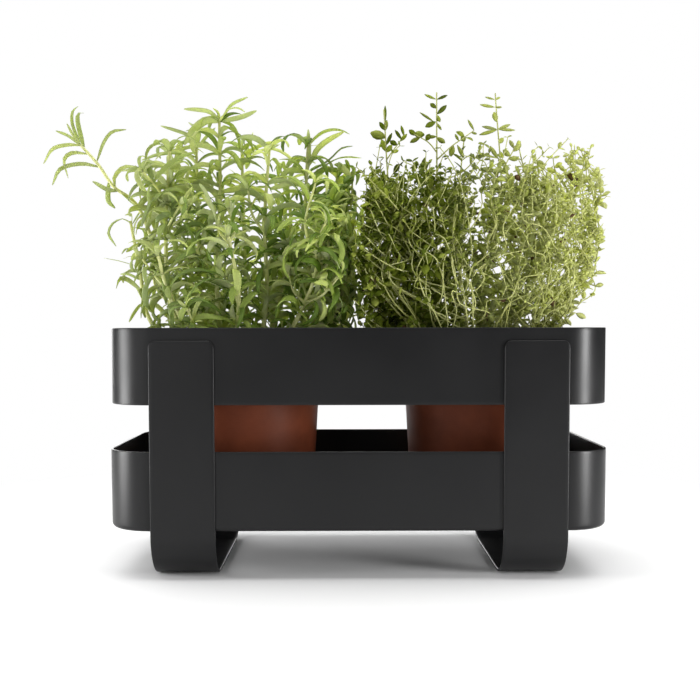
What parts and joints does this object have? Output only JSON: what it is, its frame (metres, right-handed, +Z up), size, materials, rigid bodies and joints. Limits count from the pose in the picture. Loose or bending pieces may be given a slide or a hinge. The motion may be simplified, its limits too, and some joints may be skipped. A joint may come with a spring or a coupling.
{
  "type": "herb planter",
  "caption": "Indoor herb planter: a rounded steel tray and ring on bent strap legs hold lift-out nursery pots with growing herbs.",
  "frame": {"origin": "on the floor under the planter's centre, midway between the two feet", "axes": "+X to the right along the long side, +Y to the back, +Z up"},
  "size_m": [0.432, 0.174, 0.3595],
  "materials": {
    "powder_coat": "matte charcoal powder coat on sheet steel",
    "pot_plastic": "satin terracotta-brown moulded plastic",
    "soil": "dark crumbly peat, dull",
    "rosemary_leaf": "long satin green leaves on pale green stems",
    "thyme_leaf": "small dull green leaves on thin pale stems"
  },
  "bodies": {
    "frame": {"upper_ring": "powder_coat", "lower_tray": "powder_coat", "left_leg": "powder_coat", "right_leg": "powder_coat"},
    "left_herb": {"left_pot": "pot_plastic", "left_soil": "soil", "rosemary_shoot_01": "rosemary_leaf", "rosemary_shoot_02": "rosemary_leaf", "rosemary_shoot_03": "rosemary_leaf", "rosemary_shoot_04": "rosemary_leaf", "rosemary_shoot_05": "rosemary_leaf", "rosemary_shoot_06": "rosemary_leaf", "rosemary_shoot_07": "rosemary_leaf", "rosemary_shoot_08": "rosemary_leaf", "rosemary_shoot_09": "rosemary_leaf", "rosemary_shoot_10": "rosemary_leaf", "rosemary_shoot_11": "rosemary_leaf", "rosemary_shoot_12": "rosemary_leaf", "rosemary_shoot_13": "rosemary_leaf", "rosemary_shoot_14": "rosemary_leaf", "rosemary_shoot_15": "rosemary_leaf"},
    "right_herb": {"right_pot": "pot_plastic", "right_soil": "soil", "thyme_sprig_01": "thyme_leaf", "thyme_sprig_02": "thyme_leaf", "thyme_sprig_03": "thyme_leaf", "thyme_sprig_04": "thyme_leaf", "thyme_sprig_05": "thyme_leaf", "thyme_sprig_06": "thyme_leaf", "thyme_sprig_07": "thyme_leaf", "thyme_sprig_08": "thyme_leaf", "thyme_sprig_09": "thyme_leaf", "thyme_sprig_10": "thyme_leaf", "thyme_sprig_11": "thyme_leaf", "thyme_sprig_12": "thyme_leaf", "thyme_sprig_13": "thyme_leaf", "thyme_sprig_14": "thyme_leaf", "thyme_sprig_15": "thyme_leaf", "thyme_sprig_16": "thyme_leaf"}
  },
  "joints": [
    {"name": "left_pot_lift", "type": "slide", "parent": "frame", "child": "left_herb", "axis": [0, 0, 1], "range_m": [0, 0.16]},
    {"name": "right_pot_lift", "type": "slide", "parent": "frame", "child": "right_herb", "axis": [0, 0, 1], "range_m": [0, 0.16]}
  ]
}
